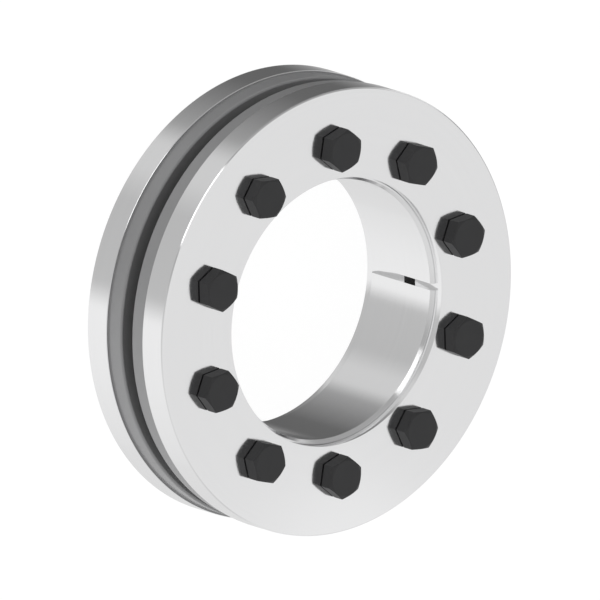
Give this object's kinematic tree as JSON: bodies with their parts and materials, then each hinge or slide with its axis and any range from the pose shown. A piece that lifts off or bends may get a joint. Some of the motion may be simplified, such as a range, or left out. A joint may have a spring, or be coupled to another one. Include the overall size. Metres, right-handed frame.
{
  "type": "shrink disc",
  "caption": "Round clamping ring set: two thick thrust rings drawn together by a circle of hex bolts over a slit double-cone inner ring with a plain bore.",
  "frame": {"origin": "centre of the rear thrust ring's outer face, on the common axis", "axes": "+Z along the common axis, from the rear thrust ring towards the bolt heads; +X towards the slit in the inner ring"},
  "size_m": [0.155, 0.155, 0.0443],
  "materials": {
    "thrust_ring_steel": "turned bright, with a duller grey band beside the gap",
    "inner_ring_steel": "finely turned bright",
    "black_steel": "black oxide"
  },
  "bodies": {
    "rear_ring": {"rear_thrust_ring": "thrust_ring_steel"},
    "front_ring": {"front_thrust_ring": "thrust_ring_steel"},
    "inner_ring": {"inner_ring": "inner_ring_steel"},
    "bolt_01": {"bolt_01": "black_steel"},
    "bolt_02": {"bolt_02": "black_steel"},
    "bolt_03": {"bolt_03": "black_steel"},
    "bolt_04": {"bolt_04": "black_steel"},
    "bolt_05": {"bolt_05": "black_steel"},
    "bolt_06": {"bolt_06": "black_steel"},
    "bolt_07": {"bolt_07": "black_steel"},
    "bolt_08": {"bolt_08": "black_steel"},
    "bolt_09": {"bolt_09": "black_steel"},
    "bolt_10": {"bolt_10": "black_steel"}
  },
  "joints": [
    {"name": "front_ring_slide", "type": "slide", "parent": "rear_ring", "child": "front_ring", "axis": [0, 0, 1], "range_m": [0, 0.0125]},
    {"name": "inner_ring_slide", "type": "slide", "parent": "rear_ring", "child": "inner_ring", "axis": [0, 0, 1], "range_m": [0, 0.00625]},
    {"name": "bolt_01_turn", "type": "hinge", "parent": "front_ring", "child": "bolt_01", "pos_m": [0.05445, 0.01769, 0.039], "axis": [0, 0, 1], "range_deg": [0, 3600]},
    {"name": "bolt_02_turn", "type": "hinge", "parent": "front_ring", "child": "bolt_02", "pos_m": [0.03365, 0.04632, 0.039], "axis": [0, 0, 1], "range_deg": [0, 3600]},
    {"name": "bolt_03_turn", "type": "hinge", "parent": "front_ring", "child": "bolt_03", "pos_m": [0, 0.05725, 0.039], "axis": [0, 0, 1], "range_deg": [0, 3600]},
    {"name": "bolt_04_turn", "type": "hinge", "parent": "front_ring", "child": "bolt_04", "pos_m": [-0.03365, 0.04632, 0.039], "axis": [0, 0, 1], "range_deg": [0, 3600]},
    {"name": "bolt_05_turn", "type": "hinge", "parent": "front_ring", "child": "bolt_05", "pos_m": [-0.05445, 0.01769, 0.039], "axis": [0, 0, 1], "range_deg": [0, 3600]},
    {"name": "bolt_06_turn", "type": "hinge", "parent": "front_ring", "child": "bolt_06", "pos_m": [-0.05445, -0.01769, 0.039], "axis": [0, 0, 1], "range_deg": [0, 3600]},
    {"name": "bolt_07_turn", "type": "hinge", "parent": "front_ring", "child": "bolt_07", "pos_m": [-0.03365, -0.04632, 0.039], "axis": [0, 0, 1], "range_deg": [0, 3600]},
    {"name": "bolt_08_turn", "type": "hinge", "parent": "front_ring", "child": "bolt_08", "pos_m": [0, -0.05725, 0.039], "axis": [0, 0, 1], "range_deg": [0, 3600]},
    {"name": "bolt_09_turn", "type": "hinge", "parent": "front_ring", "child": "bolt_09", "pos_m": [0.03365, -0.04632, 0.039], "axis": [0, 0, 1], "range_deg": [0, 3600]},
    {"name": "bolt_10_turn", "type": "hinge", "parent": "front_ring", "child": "bolt_10", "pos_m": [0.05445, -0.01769, 0.039], "axis": [0, 0, 1], "range_deg": [0, 3600]}
  ],
  "couplings": [
    {"joint": "inner_ring_slide", "follows": "front_ring_slide", "ratio": 0.5},
    {"joint": "bolt_01_turn", "follows": "front_ring_slide", "rad_per_m": 5026.5},
    {"joint": "bolt_02_turn", "follows": "front_ring_slide", "rad_per_m": 5026.5},
    {"joint": "bolt_03_turn", "follows": "front_ring_slide", "rad_per_m": 5026.5},
    {"joint": "bolt_04_turn", "follows": "front_ring_slide", "rad_per_m": 5026.5},
    {"joint": "bolt_05_turn", "follows": "front_ring_slide", "rad_per_m": 5026.5},
    {"joint": "bolt_06_turn", "follows": "front_ring_slide", "rad_per_m": 5026.5},
    {"joint": "bolt_07_turn", "follows": "front_ring_slide", "rad_per_m": 5026.5},
    {"joint": "bolt_08_turn", "follows": "front_ring_slide", "rad_per_m": 5026.5},
    {"joint": "bolt_09_turn", "follows": "front_ring_slide", "rad_per_m": 5026.5},
    {"joint": "bolt_10_turn", "follows": "front_ring_slide", "rad_per_m": 5026.5}
  ]
}
